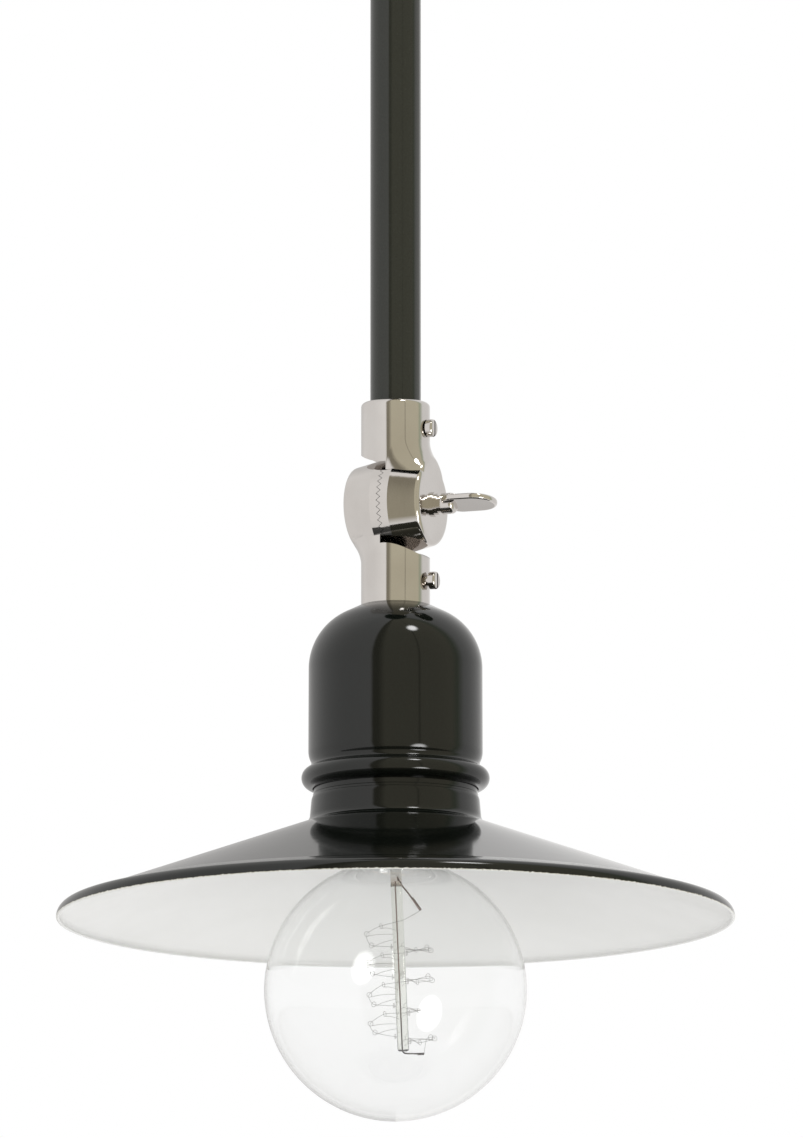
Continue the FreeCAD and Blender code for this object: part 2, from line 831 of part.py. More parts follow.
def filament():
    quarters = 4 * filament_turns
    edges = []
    for step in range(quarters):
        near = step / 4
        far = (step + 1) / 4
        edges += biarc(helix_point(near), helix_heading(near), helix_point(far), helix_heading(far))
    path = Part.Wire(edges)
    ring = Part.Wire([Part.Circle(helix_point(0), helix_heading(0), filament_wire / 2).toShape()])
    coil = path.makePipeShell([ring], True, False)
    print("filament: least gap to itself", round(least_gap(path), 2), "mm")
    return leaning(coil)


def least_gap(path):
    """Clear space between the filament's turns, from points along its middle line."""
    per_turn = 72
    line = path.discretize(filament_turns * per_turn + 1)
    apart = [line[i].distanceToPoint(line[j])
             for i in range(len(line)) for j in range(i + per_turn // 2, len(line))]
    return min(apart) - filament_wire


def hooks():
    wires = []
    for step in range(filament_turns * hooks_per_turn):
        tip = helix_point((step + 0.5) / hooks_per_turn)
        root = Vector(tip.x, tip.y, 0).normalize()
        start = root * (cane_diameter / 2 + fit) + UP * tip.z
        end = tip - root * (filament_wire / 2 + fit)
        wires.append(bar(hook_wire, start, end))
    return leaning(pattern(wires))


def short_lead():
    heading = math.radians(stem_heading)
    out = Vector(math.cos(heading), math.sin(heading), 0)
    start = out * (press_width / 2 + lead_wire / 2) + UP * (cane_top() + press_height / 2)
    end = start + out * short_lead_reach - UP * short_lead_drop
    return bar(lead_wire, start, end)


def long_lead():
    heading = math.radians(stem_heading)
    out = Vector(math.cos(heading), math.sin(heading), 0)
    place = math.radians(filament_start)
    line = Vector(math.cos(place), math.sin(place), 0) * (cane_diameter / 2 + lead_wire / 2 + fit)
    low = cane_top() - cane_length - long_lead_gap
    start = line + UP * (cane_top() + fit)
    knee = line + UP * (low + long_lead_bend)
    turn = math.radians(45)
    corner = knee + out * long_lead_bend
    middle = corner - out * long_lead_bend * math.cos(turn) - UP * long_lead_bend * math.sin(turn)
    foot = corner - UP * long_lead_bend
    end = foot + out * (long_lead_reach - long_lead_bend)
    path = Part.Wire([Part.LineSegment(start, knee).toShape(), Part.Arc(knee, middle, foot).toShape(),
                      Part.LineSegment(foot, end).toShape()])
    ring = Part.Wire([Part.Circle(start, DOWN, lead_wire / 2).toShape()])
    return path.makePipeShell([ring], True, False)


def leads():
    return leaning(pattern([short_lead(), long_lead()]))


pieces = {
    "ceiling_bracket": ceiling_bracket(),
    "canopy": canopy(),
    "canopy_screws": cup_screws(),
    "terminal_block": terminal_block(),
    "terminal_screws": clamp_screws(),
    "terminal_block_screw": block_screw(),
    "earth_screw": earth_screw(),
    "rod_nipple": rod_nipple(),
    "rod_nut": rod_nut(),
    "rod_washer": rod_washer(),
    "rod_bushing": rod_bushing(),
    "rod": rod(),
    "upper_knuckle": upper_knuckle(),
    "upper_set_screw": set_screw(upper_set_height, upper_set_neck, rod_diameter / 2),
    "wing_washer": wing_washer(),
    "wing_screw": wing_screw(),
    "lower_knuckle": lower_knuckle(),
    "lower_set_screw": set_screw(-lower_set_height, lower_set_neck, nipple_diameter / 2),
    "cover_nipple": cover_nipple(),
    "socket_cover": socket_cover(),
    "cover_washer": cover_washer(),
    "cover_nut": cover_nut(),
    "holder_cap": holder_cap(),
    "holder_skirt": holder_skirt(),
    "holder_insert": holder_insert(),
    "holder_screws": holder_screws(),
    "thread_shell": thread_shell(),
    "centre_contact": centre_contact(),
    "shade_ring": shade_ring(),
    "shade": shade(),
    "lamp_tip": lamp_tip(),
    "lamp_insulator": lamp_insulator(),
    "lamp_cap": lamp_cap(),
    "globe": globe(),
    "lamp_stem": lamp_stem(),
    "filament": filament(),
    "filament_hooks": hooks(),
    "filament_leads": leads(),
}

os.makedirs("parts", exist_ok=True)
for name, shape in pieces.items():
    shape.exportStep("parts/" + name + ".step")
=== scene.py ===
import json
import math
import bpy
from mathutils import Matrix, Vector

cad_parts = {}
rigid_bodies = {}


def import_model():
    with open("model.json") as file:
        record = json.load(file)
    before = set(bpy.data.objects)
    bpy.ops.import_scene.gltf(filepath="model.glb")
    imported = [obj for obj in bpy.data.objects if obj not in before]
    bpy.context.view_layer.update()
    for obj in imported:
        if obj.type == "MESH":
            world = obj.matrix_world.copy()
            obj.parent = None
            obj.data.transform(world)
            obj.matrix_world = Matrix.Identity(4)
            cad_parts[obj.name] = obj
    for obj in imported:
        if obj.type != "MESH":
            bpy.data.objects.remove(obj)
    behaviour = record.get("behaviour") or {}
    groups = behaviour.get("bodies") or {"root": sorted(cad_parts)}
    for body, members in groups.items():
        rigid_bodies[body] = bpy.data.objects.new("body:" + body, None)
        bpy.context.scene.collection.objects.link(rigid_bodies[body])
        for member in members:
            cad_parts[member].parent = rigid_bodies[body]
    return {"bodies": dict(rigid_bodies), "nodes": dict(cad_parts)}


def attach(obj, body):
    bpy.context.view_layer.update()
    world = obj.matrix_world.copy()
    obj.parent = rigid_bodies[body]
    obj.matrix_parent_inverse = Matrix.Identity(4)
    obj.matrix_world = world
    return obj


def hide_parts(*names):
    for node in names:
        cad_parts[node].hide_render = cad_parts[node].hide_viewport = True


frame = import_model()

# A new file's own cube, lamp and camera are cleared away, so that only the pendant is left.
nodes = frame["nodes"]
belongs = set(nodes.values()) | set(frame["bodies"].values())
for extra in [thing for thing in bpy.data.objects if thing not in belongs]:
    bpy.data.objects.remove(extra)
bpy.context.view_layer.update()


# Ceiling bracket, tubes, nuts and washers: pressed and turned steel, zinc plated.
# They are bolted together inside the ceiling cup, under the socket cover and in the rod.
def finish(name):
    material = bpy.data.materials.new(name)
    material.use_nodes = True
    tree = material.node_tree
    return material, tree, tree.nodes["Principled BSDF"]


def grain(tree, scale, stretch=(1, 1, 1), detail=4.0):
    place = tree.nodes.new("ShaderNodeTexCoord")
    mapping = tree.nodes.new("ShaderNodeMapping")
    mapping.inputs["Scale"].default_value = stretch
    noise = tree.nodes.new("ShaderNodeTexNoise")
    noise.inputs["Scale"].default_value = scale
    noise.inputs["Detail"].default_value = detail
    tree.links.new(place.outputs["Object"], mapping.inputs["Vector"])
    tree.links.new(mapping.outputs["Vector"], noise.inputs["Vector"])
    return noise.outputs["Fac"]


def shades(tree, value, *stops):
    ramp = tree.nodes.new("ShaderNodeValToRGB")
    while len(ramp.color_ramp.elements) < len(stops):
        ramp.color_ramp.elements.new(0.5)
    for element, (position, colour) in zip(ramp.color_ramp.elements, stops):
        element.position = position
        element.color = (*colour, 1)
    tree.links.new(value, ramp.inputs["Fac"])
    return ramp.outputs["Color"]


def between(tree, value, low, high, start=0.3, end=0.7):
    spread = tree.nodes.new("ShaderNodeMapRange")
    spread.inputs["From Min"].default_value = start
    spread.inputs["From Max"].default_value = end
    spread.inputs["To Min"].default_value = low
    spread.inputs["To Max"].default_value = high
    tree.links.new(value, spread.inputs["Value"])
    return spread.outputs["Result"]


def relief(tree, shader, height, depth, strength=1.0):
    bump = tree.nodes.new("ShaderNodeBump")
    bump.inputs["Distance"].default_value = depth
    bump.inputs["Strength"].default_value = strength
    tree.links.new(height, bump.inputs["Height"])
    tree.links.new(bump.outputs["Normal"], shader.inputs["Normal"])


# A finish that drifts between two colours. Its roughness is one value, or two that drift along,
# and its surface may be raised along with them.
def mottled(name, pattern, dark, light, rough, metal=0.0, raised=None):
    material, tree, shader = finish(name)
    drift = grain(tree, **pattern)
    tree.links.new(shades(tree, drift, (0.3, dark), (0.7, light)), shader.inputs["Base Color"])
    if isinstance(rough, tuple):
        tree.links.new(between(tree, drift, *rough), shader.inputs["Roughness"])
    else:
        shader.inputs["Roughness"].default_value = rough
    if raised:
        relief(tree, shader, drift, raised)
    shader.inputs["Metallic"].default_value = metal
    return material, tree, shader


def paint(material, *names):
    for name in names:
        for slot in nodes[name].material_slots:
            slot.material = material


zinc, tree, shader = mottled("zinc_plate", {"scale": 220}, (0.42, 0.43, 0.45), (0.62, 0.63, 0.62),
                             rough=(0.28, 0.46), metal=1.0)
relief(tree, shader, grain(tree, scale=2400, stretch=(1, 1, 0.1)), depth=0.00003)
paint(zinc, "ceiling_bracket", "terminal_block_screw", "rod_nipple", "rod_nut", "rod_washer", "rod_bushing",
      "cover_nipple", "cover_washer", "cover_nut")


# Mains terminal and its brass screws, on the bracket inside the cup.
# The block is moulded in white plastic; the screws are turned and slotted.
moulding = mottled("white_moulding", {"scale": 900}, (0.74, 0.73, 0.69), (0.82, 0.81, 0.77),
                   rough=0.48, raised=0.00005)[0]
paint(moulding, "terminal_block")

brass, tree, shader = mottled("turned_brass", {"scale": 160}, (0.50, 0.34, 0.13), (0.74, 0.56, 0.27),
                              rough=(0.2, 0.38), metal=1.0)
relief(tree, shader, grain(tree, scale=3000), depth=0.00002)
paint(brass, "terminal_screws", "earth_screw", "holder_screws", "centre_contact")


# Ceiling cup and rod: spun and drawn steel under a thick gloss black enamel.
# The enamel flows before it hardens, so it is mirror-like, with the faintest waves and specks.
# The drawn rod takes a thinner coat, a shade lighter.
spun_coat = {"colours": ((0.0030, 0.0040, 0.0030), (0.0042, 0.0055, 0.0042), (0.008, 0.009, 0.007)),
             "rough": (0.06, 0.1), "waves": {"scale": 160}, "wave_strength": 0.35}
rod_coat = {"colours": ((0.015, 0.016, 0.012), (0.018, 0.020, 0.015), (0.024, 0.025, 0.021)),
            "rough": (0.07, 0.12), "waves": {"scale": 200, "stretch": (1, 1, 0.2)}, "wave_strength": 0.3}


def enamel(name, colours, rough, waves, wave_strength):
    material, tree, shader = finish(name)
    specks = grain(tree, scale=1600, detail=2.0)
    colour = shades(tree, specks, *zip((0.25, 0.62, 0.78), colours))
    tree.links.new(colour, shader.inputs["Base Color"])
    tree.links.new(between(tree, grain(tree, scale=35), *rough), shader.inputs["Roughness"])
    relief(tree, shader, grain(tree, **waves, detail=2.0), depth=0.00004, strength=wave_strength)
    shader.inputs["IOR"].default_value = 1.5
    return material, tree, shader, colour


black_enamel = enamel("gloss_black_enamel", **spun_coat)[0]
rod_enamel = enamel("rod_black_enamel", **rod_coat)[0]
paint(rod_enamel, "rod")
paint(black_enamel, "canopy")


# Toothed knuckle, its wing screw and its set screws: cast and turned brass under polished nickel.
# The halves are clamped by the wing screw; the set screws hold the rod and the tube below.
nickel, tree, shader = mottled("polished_nickel", {"scale": 60}, (0.60, 0.57, 0.545), (0.66, 0.635, 0.61),
                               rough=(0.04, 0.1), metal=1.0)
relief(tree, shader, grain(tree, scale=700, stretch=(1, 1, 0.25), detail=3.0), depth=0.00001, strength=0.4)
paint(nickel, "canopy_screws", "upper_knuckle", "upper_set_screw", "wing_washer", "wing_screw",
      "lower_knuckle", "lower_set_screw")


# Socket cover: a bell spun from sheet steel, with a bead rolled at its foot, under the same black enamel.
# It hangs on the tube below the knuckle and hides the lampholder. Sizes are in millimetres.
def corner(radius, height):
    return Vector((radius, 0, height)) / 1000


def bend(centre, height, radius, start, end, steps):
    path = []
    for step in range(steps + 1):
        turn = math.radians(start + (end - start) * step / steps)
        path.append(corner(centre + radius * math.cos(turn), height + radius * math.sin(turn)))
    return path


def close_up():
    bpy.ops.mesh.select_all(action="SELECT")
    bpy.ops.mesh.remove_doubles(threshold=0.000002)
    bpy.ops.mesh.normals_make_consistent(inside=False)
    bpy.ops.object.mode_set(mode="OBJECT")


def draw_line(name, path):
    bpy.ops.object.select_all(action="DESELECT")
    bpy.ops.mesh.primitive_circle_add(vertices=3, radius=0.001)
    piece = bpy.context.object
    piece.name = name
    piece.data.name = name
    bpy.ops.object.mode_set(mode="EDIT")
    bpy.ops.mesh.select_all(action="SELECT")
    bpy.ops.mesh.merge(type="CENTER")
    bpy.ops.transform.translate(value=path[0])
    for here, there in zip(path, path[1:]):
        bpy.ops.mesh.extrude_vertices_move(TRANSFORM_OT_translate={"value": there - here})
    return piece


def spin(name, path, around):
    piece = draw_line(name, path)
    bpy.ops.mesh.select_all(action="SELECT")
    bpy.ops.mesh.spin(steps=around, angle=math.tau, center=(0, 0, 0), axis=(0, 0, 1))
    close_up()
    bpy.ops.object.shade_smooth_by_angle(angle=math.radians(35))
    return piece


def coat(piece, *materials):
    piece.data.materials.clear()
    for material in materials:
        piece.data.materials.append(material)


cover_wall = 1.2
cover_top = -389.8
cover_hole = 5.05
cover_seat = 12.5
seat_draw = 0.22
cover_side = 31.5
dome_fall = 25
dome_radius = 22.5
dome_height = -413.0
foot_flare = 0.1
foot_radius = 8.0
foot_height = -443.4
bead_radius = 4.0
bead_centre = 30.1
bead_height = -453.2
cove_radius = 1.8

# The cove touches both the rounded foot and the bead
foot_centre = cover_side + foot_flare - foot_radius
foot_reach = foot_radius + cove_radius
bead_reach = bead_radius + cove_radius
span = Vector((bead_centre - foot_centre, bead_height - foot_height))
along = (foot_reach ** 2 - bead_reach ** 2 + span.length_squared) / (2 * span.length)
aside = math.sqrt(foot_reach ** 2 - along ** 2)
cove_centre, cove_height = (Vector((foot_centre, foot_height)) + span.normalized() * along
                            + Vector((-span.y, span.x)).normalized() * aside)
foot_end = math.degrees(math.atan2(cove_height - foot_height, cove_centre - foot_centre))
bead_start = math.degrees(math.atan2(cove_height - bead_height, cove_centre - bead_centre))


def cover_profile(sheet):
    path = [corner(cover_hole, cover_top - sheet), corner(cover_seat - seat_draw * sheet, cover_top - sheet)]
    path += bend(cover_side - dome_radius, dome_height, dome_radius - sheet, 90 - dome_fall, 0, 32)
    path += bend(foot_centre, foot_height, foot_radius - sheet, 0, foot_end, 14)
    path += bend(cove_centre, cove_height, cove_radius + sheet, 180 + foot_end, 180 + bead_start, 12)[1:]
    path += bend(bead_centre, bead_height, bead_radius - sheet, bead_start, -90, 32)[1:]
    return path


outside = cover_profile(0)
cover = spin("socket_cover_spun", outside + cover_profile(cover_wall)[::-1] + outside[:1], around=192)
coat(cover, black_enamel)
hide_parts("socket_cover")
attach(cover, "lamp")


# Lampholder: black moulded cap, skirt and clamp ring round a white porcelain insert.
# The skirt screws into the cap, and the ring on the skirt clamps the shade.
phenolic, tree, shader = mottled("black_moulding", {"scale": 90, "stretch": (1, 1, 3)},
                                 (0.012, 0.011, 0.010), (0.03, 0.027, 0.024), rough=(0.22, 0.36))
relief(tree, shader, grain(tree, scale=1200), depth=0.00002)
paint(phenolic, "holder_cap", "holder_skirt", "shade_ring")

porcelain, tree, shader = mottled("glazed_porcelain", {"scale": 140}, (0.76, 0.74, 0.68), (0.84, 0.83, 0.78),
                                  rough=(0.1, 0.22))
relief(tree, shader, grain(tree, scale=300), depth=0.00003)
paint(porcelain, "holder_insert")


# Thread shell: thin brass sleeve with the lamp's round thread rolled into it.
# It is riveted under the insert by its flange.
thread_pitch = 3.629
wave_at_scale_one = 0.314
shell_brass, tree, shader = mottled("rolled_brass", {"scale": 120}, (0.52, 0.37, 0.16), (0.72, 0.56, 0.29),
                                    rough=(0.18, 0.34), metal=1.0)
place = tree.nodes.new("ShaderNodeTexCoord")
rolls = tree.nodes.new("ShaderNodeTexWave")
rolls.wave_type = "BANDS"
rolls.bands_direction = "Z"
rolls.inputs["Scale"].default_value = wave_at_scale_one / (thread_pitch / 1000)
tree.links.new(place.outputs["Object"], rolls.inputs["Vector"])
relief(tree, shader, rolls.outputs["Fac"], depth=0.0008)
paint(shell_brass, "thread_shell")


# Shade: a shallow cone spun from sheet steel, with a short neck and a rolled rim that turns down.
# Black enamel covers the outside and white enamel the inside, and the two meet unevenly at the rim.
wall = 1.2
neck_hole = 20
neck_land = 23
neck_top = -452.8
neck_corner = 3.0
neck_side = 29.75
hollow_radius = 1.6
hollow_height = -458.5
neck_flare = 28
bulge_radius = 5.0
bulge_centre = 25.55
bulge_height = -462.2
neck_lean = 5
fillet_radius = 3.5
fillet_centre = 34.5
fillet_height = -466.8
slope = 19.5
rim = 122.8
roll = 4.2
swell = 0.7
lip = 0.5
edge_round = 0.45
cone_steps = 12
roll_steps = 16


def neck_profile(sheet):
    path = [corner(neck_hole, neck_top - sheet), corner(neck_land, neck_top - sheet)]
    path += bend(neck_side - neck_corner, neck_top - neck_corner, neck_corner - sheet, 90, 0, 10)
    path += bend(neck_side + hollow_radius, hollow_height, hollow_radius + sheet, 180, 180 + neck_flare, 8)
    path += bend(bulge_centre, bulge_height, bulge_radius - sheet, neck_flare, neck_lean, 8)
    path += bend(fillet_centre, fillet_height, fillet_radius + sheet, 180 + neck_lean, 270 - slope, 10)
    return path


def cone_to(start, end):
    return [start.lerp(end, step / cone_steps) for step in range(1, cone_steps)]


# The roll stands proud of the cone outside, and runs smoothly into it inside
outside = neck_profile(0)
fall = math.radians(slope)
cone_start = outside[-1] * 1000
roll_centre = rim - roll
roll_height = (cone_start.z - (roll_centre - cone_start.x) * math.tan(fall) - (roll - swell) / math.cos(fall))
rim_height = roll_height - lip
roll_turn = 90 - slope + math.degrees(math.acos(1 - swell / roll))
rolled = bend(roll_centre, roll_height, roll, roll_turn, 0, 20)
outside += cone_to(outside[-1], rolled[0]) + rolled
outside += bend(rim - edge_round, rim_height + edge_round, edge_round, 0, -90, 6)
inner_roll = []
for step in range(roll_steps + 1):
    share = step / roll_steps
    reach = roll - wall - swell * math.cos(share * math.pi / 2) ** 2
    turn = (1 - share) * (math.pi / 2 - fall)
    inner_roll.append(corner(roll_centre + reach * math.cos(turn), roll_height + reach * math.sin(turn)))
inside = neck_profile(wall)
inside += cone_to(inside[-1], inner_roll[0]) + inner_roll
inside += bend(rim - wall + edge_round, rim_height + edge_round, edge_round, 180, 270, 6)
shade = spin("shade_spun", outside + inside[::-1] + outside[:1], around=224)


def height_of(tree):
    place = tree.nodes.new("ShaderNodeTexCoord")
    split = tree.nodes.new("ShaderNodeSeparateXYZ")
    tree.links.new(place.outputs["Object"], split.inputs["Vector"])
    return split.outputs["Z"]


def blend(tree, share):
    meet = tree.nodes.new("ShaderNodeMix")
    meet.data_type = "RGBA"
    tree.links.new(share, meet.inputs["Factor"])
    return meet


ragged_height = 0.0010
line_start = rim_height / 1000 + 0.0003
line_end = rim_height / 1000 + 0.0015
shade_black, tree, shader, black = enamel("shade_black_enamel", **spun_coat)
ragged = tree.nodes.new("ShaderNodeMath")
ragged.operation = "MULTIPLY_ADD"
ragged.inputs[1].default_value = ragged_height
tree.links.new(grain(tree, scale=1400, detail=3.0), ragged.inputs[0])
tree.links.new(height_of(tree), ragged.inputs[2])
edge = between(tree, ragged.outputs["Value"], 0, 1, line_start, line_end)
rim_enamel = shades(tree, edge, (0.30, (0.78, 0.78, 0.74)), (0.44, (0.50, 0.47, 0.37)),
                    (0.52, (0.14, 0.13, 0.10)))
meet = blend(tree, shades(tree, edge, (0.48, (0, 0, 0)), (0.56, (1, 1, 1))))
tree.links.new(rim_enamel, meet.inputs["A"])
tree.links.new(black, meet.inputs["B"])
tree.links.new(meet.outputs["Result"], shader.inputs["Base Color"])

shade_white, tree, shader = mottled("shade_white_enamel", {"scale": 24, "detail": 3.0},
                                    (0.88, 0.88, 0.865), (0.92, 0.92, 0.91), rough=(0.16, 0.26))
relief(tree, shader, grain(tree, scale=140, detail=2.0), depth=0.00005, strength=0.4)
coat(shade, shade_black, shade_white)

# Faces that look down or inward are white; the rim's edge keeps the uneven line
edge_top = rim_height / 1000 + 0.001
for face in shade.data.polygons:
    outward = face.normal.x * face.center.x + face.normal.y * face.center.y > 0
    under = face.normal.z < -0.05 and face.center.z > edge_top
    inward = face.normal.z < 0.3 and not outward
    face.material_index = 1 if under or inward else 0
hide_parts("shade")
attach(shade, "lamp")


# Screw cap of the lamp: thin brass sheet with its round thread rolled in, cemented on the glass.
# A dark glass button and a dab of solder close its top.
def corners(*places):
    return [corner(radius, height) for radius, height in places]


def join(*pieces):
    bpy.ops.object.select_all(action="DESELECT")
    for piece in pieces:
        piece.select_set(True)
    bpy.context.view_layer.objects.active = pieces[0]
    bpy.ops.object.join()


thread_start = -461.7
thread_radius = 12.6
thread_depth = 0.4
thread_turns = 3
thread_steps = 16
cap_sheet = 0.3
one_turn = []
for step in range(thread_steps + 1):
    share = step / thread_steps
    one_turn.append(corner(thread_radius + thread_depth * math.cos(math.tau * share),
                           thread_start + thread_pitch * share))
cap = draw_line("lamp_cap_rolled", one_turn)
bpy.ops.object.mode_set(mode="OBJECT")
thread = cap.modifiers.new("thread", "SCREW")
thread.axis = "Z"
thread.angle = math.tau
thread.screw_offset = thread_pitch / 1000
thread.iterations = thread_turns
thread.steps = 64
thread.render_steps = 64
thread.use_merge_vertices = True
bpy.ops.object.modifier_apply(modifier=thread.name)
neck = spin("lamp_cap_ends", corners(
    (9.5, -444.4), (11.6, -445.0), (12.6, -447.3), (12.3, -448.1), (12.1, -448.3)), around=64)
skirt = spin("lamp_cap_skirt", corners(
    (12.5, -460.9), (12.9, -461.7), (13.0, -465.3),
    (12.9, -466.2), (12.55, -466.3), (12.5, -464.7)), around=64)
join(cap, neck, skirt)
bpy.ops.object.mode_set(mode="EDIT")
close_up()
sheet = cap.modifiers.new("sheet", "SOLIDIFY")
sheet.thickness = cap_sheet / 1000
sheet.offset = -1
bpy.ops.object.modifier_apply(modifier=sheet.name)
bpy.ops.object.shade_smooth_by_angle(angle=math.radians(40))
coat(cap, shell_brass)
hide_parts("lamp_cap")
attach(cap, "bulb")

solder, tree, shader = mottled("soft_solder", {"scale": 500}, (0.36, 0.36, 0.37), (0.55, 0.55, 0.56),
                               rough=(0.35, 0.55), metal=1.0)
relief(tree, shader, grain(tree, scale=900), depth=0.00008)
paint(solder, "lamp_tip")

button, tree, shader = mottled("dark_glass", {"scale": 200}, (0.012, 0.008, 0.012), (0.03, 0.02, 0.03),
                               rough=(0.05, 0.15))
relief(tree, shader, grain(tree, scale=250), depth=0.00004)
paint(button, "lamp_insulator")


# Globe: clear blown glass, a thin ball that runs into a short neck sealed in the cap.
# Blown glass is very slightly uneven, so its reflections waver.
glass = 0.8
neck_drop = 0.3
ball_radius = 47.5
ball_height = -530.6
shoulder_radius = 8.0
shoulder_centre = 25
shoulder_height = -481.05
ball_top = math.degrees(math.atan2(shoulder_height - ball_height, shoulder_centre))


def globe_profile(depth, drop):
    path = corners((12.3 - depth, -458.7), (12.45 - depth, -466.3), (14.6 - depth, -469.7 - drop))
    path += bend(shoulder_centre, shoulder_height, shoulder_radius + depth, 180, 180 + ball_top, 12)
    path += bend(0, ball_height, ball_radius - depth, ball_top, -90, 64)[1:]
    return path


outside = globe_profile(0, 0)
globe = spin("globe_blown", outside + globe_profile(glass, neck_drop)[::-1] + outside[:1], around=160)
bpy.ops.object.shade_smooth()

clear_glass, tree, shader = finish("blown_glass")
shader.inputs["Base Color"].default_value = (0.976, 0.978, 0.976, 1)
shader.inputs["Roughness"].default_value = 0.0
shader.inputs["IOR"].default_value = 1.48
shader.inputs["Transmission Weight"].default_value = 1.0
relief(tree, shader, grain(tree, scale=45, detail=1.0), depth=0.00006, strength=0.05)
coat(globe, clear_glass)
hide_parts("globe")
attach(globe, "bulb")


# Stem of the lamp: a glass funnel sealed into the neck, pinched flat round the leads at its foot,
# with a clear cane below it that carries the hooks. The foot stands a little out of true.
stem_foot = -485.8
cane_top = -492.5
cane_end = -553.5
press_size = (4.0, 2.6, 7.5)
heading = math.radians(22)
lean_heading = math.radians(-29.3)
stem_lean = math.radians(3.84)
lean_axis = Vector((math.sin(lean_heading), -math.cos(lean_heading), 0))
leaning = (Matrix.Translation(corner(0, stem_foot)) @ Matrix.Rotation(stem_lean, 4, lean_axis)
           @ Matrix.Translation(-corner(0, stem_foot)))

funnel = spin("lamp_stem_drawn", corners(
    (11.4, -466.4), (8.6, -468.9), (5.4, -471.7), (4.3, -475.2), (4.2, -483.2),
    (3.4, -485.3), (2.6, -485.8), (1.8, -485.0), (2.9, -483.2), (3.4, -481.2),
    (3.5, -475.2), (4.6, -472.1), (8.2, -469.6), (10.9, -467.3), (11.4, -466.4)), around=64)
pipe = spin("exhaust_pipe", corners(
    (1.7, -466.5), (1.7, -484.6), (1.1, -484.6), (1.1, -466.5), (1.7, -466.5)), around=40)
cane = spin("cane", corners(
    (0, cane_top + 1.2), (2.0, cane_top + 1.2), (2.1, cane_top + 0.4),
    (2.1, cane_end + 1.0), (1.95, cane_end + 0.3), (1.5, cane_end), (0, cane_end)), around=40)
cane.data.transform(leaning)

bpy.ops.object.select_all(action="DESELECT")
bpy.ops.mesh.primitive_cube_add(size=1)
press = bpy.context.object
press.name = "lamp_press"
press.data.name = "lamp_press"
bpy.ops.object.mode_set(mode="EDIT")
bpy.ops.transform.resize(value=[side / 1000 for side in press_size])
bpy.ops.mesh.subdivide(number_cuts=3)
bpy.ops.object.mode_set(mode="OBJECT")
rounding = press.modifiers.new("rounding", "SUBSURF")
rounding.levels = 2
rounding.render_levels = 2
bpy.ops.object.modifier_apply(modifier=rounding.name)
bpy.ops.object.shade_smooth()
press.data.transform(leaning @ Matrix.Translation(corner(0, (stem_foot + cane_top) / 2))
                     @ Matrix.Rotation(heading, 4, "Z"))

stem_glass, tree, shader = finish("drawn_glass")
shader.inputs["Base Color"].default_value = (0.86, 0.87, 0.83, 1)
shader.inputs["Roughness"].default_value = 0.02
shader.inputs["IOR"].default_value = 1.5
shader.inputs["Transmission Weight"].default_value = 1.0
relief(tree, shader, grain(tree, scale=260, stretch=(1, 1, 0.08), detail=2.0), depth=0.00015, strength=0.3)

pinched, tree, shader = finish("pinched_glass")
melt = between(tree, height_of(tree), 0, 1, cane_top / 1000, stem_foot / 1000)
tree.links.new(shades(tree, melt, (0.1, (0.93, 0.83, 0.74)), (0.4, (0.96, 0.90, 0.84)),
                      (0.55, (0.98, 0.97, 0.94))), shader.inputs["Base Color"])
shader.inputs["Roughness"].default_value = 0.12
shader.inputs["Transmission Weight"].default_value = 0.85
relief(tree, shader, grain(tree, scale=420, detail=3.0), depth=0.0002, strength=0.4)
for part in (funnel, pipe, cane):
    coat(part, stem_glass)
join(funnel, pipe, cane)
coat(press, pinched)
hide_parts("lamp_stem")
for part in (funnel, press):
    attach(part, "bulb")


# Filament and hooks: a hair of drawn wire wound in an open spiral round the cane.
# Each hook is a fine wire set in the cane, with an eye at its tip that the filament runs through.
def wire(name, path, thickness):
    bpy.ops.object.select_all(action="DESELECT")
    bpy.ops.curve.primitive_nurbs_path_add()
    line = bpy.context.object
    line.name = name
    line.data.name = name
    line.data.splines.clear()
    spline = line.data.splines.new("NURBS")
    spline.points.add(len(path) - 1)
    for knot, place in zip(spline.points, path):
        knot.co = (*place, 1)
    spline.order_u = 3
    spline.use_endpoint_u = True
    line.data.bevel_depth = thickness / 2000
    line.data.bevel_resolution = 2
    line.data.resolution_u = 6
    line.data.use_fill_caps = True
    bpy.ops.object.convert(target="MESH")
    bpy.ops.object.mode_set(mode="EDIT")
    close_up()
    bpy.ops.object.shade_smooth_by_angle(angle=math.radians(50))
    return bpy.context.object


coil_top = cane_top - 16.0
coil_radius = 12.0
coil_pitch = 11.0
coil_start = math.radians(282.5)
coil_lead_in = 5.5
coil_sag = 1.8
turns = 4
hooks_per_turn = 8
knots_per_hook = 4
eye_radius = 0.95
eye_shift = 0.25
eye_start = 235
eye_sweep = 400
eye_steps = 12
filament_wire = 0.13
hook_wire = 0.14
short_reach = 8.4
short_drop = 9.4
long_reach = 7.4
long_drop = 1.3
out = Vector((math.cos(heading), math.sin(heading), 0)) / 1000
short_end = out * short_reach + corner(0, cane_top - short_drop)
long_end = out * long_reach + corner(0, cane_end - long_drop)


def coil_place(turn, radius):
    angle = coil_start - math.tau * turn
    return Vector((radius * math.cos(angle), radius * math.sin(angle), coil_top - coil_pitch * turn)) / 1000


# No two hooks stand quite alike
def hook_rise(step):
    return 0.75 * math.sin(2.4 * step) + 0.35 * math.sin(5.1 * step)


